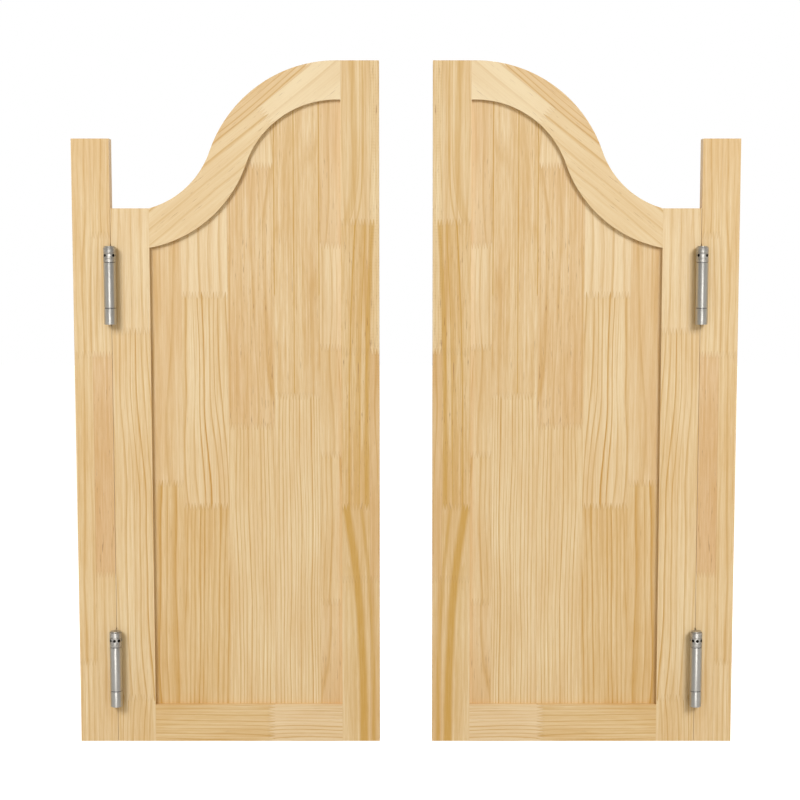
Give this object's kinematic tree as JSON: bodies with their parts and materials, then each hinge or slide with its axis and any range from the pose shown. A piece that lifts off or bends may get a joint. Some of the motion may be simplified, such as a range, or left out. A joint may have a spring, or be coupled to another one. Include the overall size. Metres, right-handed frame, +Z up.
{
  "type": "cafe swinging doors",
  "caption": "Pair of half-height wooden swing doors with S-curved tops, framed panels and double-action spring hinges on jamb strips.",
  "frame": {"origin": "on the centre line between the two doors, at mid thickness of the boards, level with their bottom edges", "axes": "+Z up, +X to the right, -Y towards the front; the doors are closed"},
  "size_m": [0.8704, 0.0504, 0.9],
  "materials": {
    "pine_frame": "planed and sanded, bare, edge-glued from finger-jointed strips",
    "pine_rail": "planed and sanded, bare, grain running on the slant",
    "pine_panel": "planed and sanded, bare, upright grain",
    "hinge_steel": "satin",
    "spring_steel": "drawn wire, lightly oiled"
  },
  "bodies": {
    "frame": {"left_jamb_strip": "pine_frame", "left_jamb_flanges": "hinge_steel", "left_jamb_springs": "spring_steel", "right_jamb_strip": "pine_frame", "right_jamb_flanges": "hinge_steel", "right_jamb_springs": "spring_steel"},
    "right_webs": {"right_webs": "hinge_steel", "right_tension_spindles": "hinge_steel", "right_barrel_caps": "hinge_steel"},
    "right_door": {"right_hinge_stile": "pine_frame", "right_meeting_stile": "pine_frame", "right_top_rail": "pine_rail", "right_bottom_rail": "pine_frame", "right_panel_stave_1": "pine_panel", "right_panel_stave_2": "pine_panel", "right_panel_stave_3": "pine_panel", "right_panel_stave_4": "pine_panel", "right_panel_stave_5": "pine_panel", "right_door_flanges": "hinge_steel", "right_door_springs": "spring_steel"},
    "left_webs": {"left_webs": "hinge_steel", "left_tension_spindles": "hinge_steel", "left_barrel_caps": "hinge_steel"},
    "left_door": {"left_hinge_stile": "pine_frame", "left_meeting_stile": "pine_frame", "left_top_rail": "pine_rail", "left_bottom_rail": "pine_frame", "left_panel_stave_1": "pine_panel", "left_panel_stave_2": "pine_panel", "left_panel_stave_3": "pine_panel", "left_panel_stave_4": "pine_panel", "left_panel_stave_5": "pine_panel", "left_door_flanges": "hinge_steel", "left_door_springs": "spring_steel"}
  },
  "joints": [
    {"name": "right_front_swing", "type": "hinge", "parent": "frame", "child": "right_webs", "pos_m": [0.3856, -0.01725, 0], "axis": [0, 0, 1], "range_deg": [0, 90], "stiffness_Nm_per_rad": 2.4},
    {"name": "right_back_swing", "type": "hinge", "parent": "right_webs", "child": "right_door", "pos_m": [0.3856, 0.01725, 0], "axis": [0, 0, 1], "range_deg": [-90, 0], "stiffness_Nm_per_rad": 2.4},
    {"name": "left_front_swing", "type": "hinge", "parent": "frame", "child": "left_webs", "pos_m": [-0.3856, -0.01725, 0], "axis": [0, 0, 1], "range_deg": [-90, 0], "stiffness_Nm_per_rad": 2.4},
    {"name": "left_back_swing", "type": "hinge", "parent": "left_webs", "child": "left_door", "pos_m": [-0.3856, 0.01725, 0], "axis": [0, 0, 1], "range_deg": [0, 90], "stiffness_Nm_per_rad": 2.4}
  ]
}
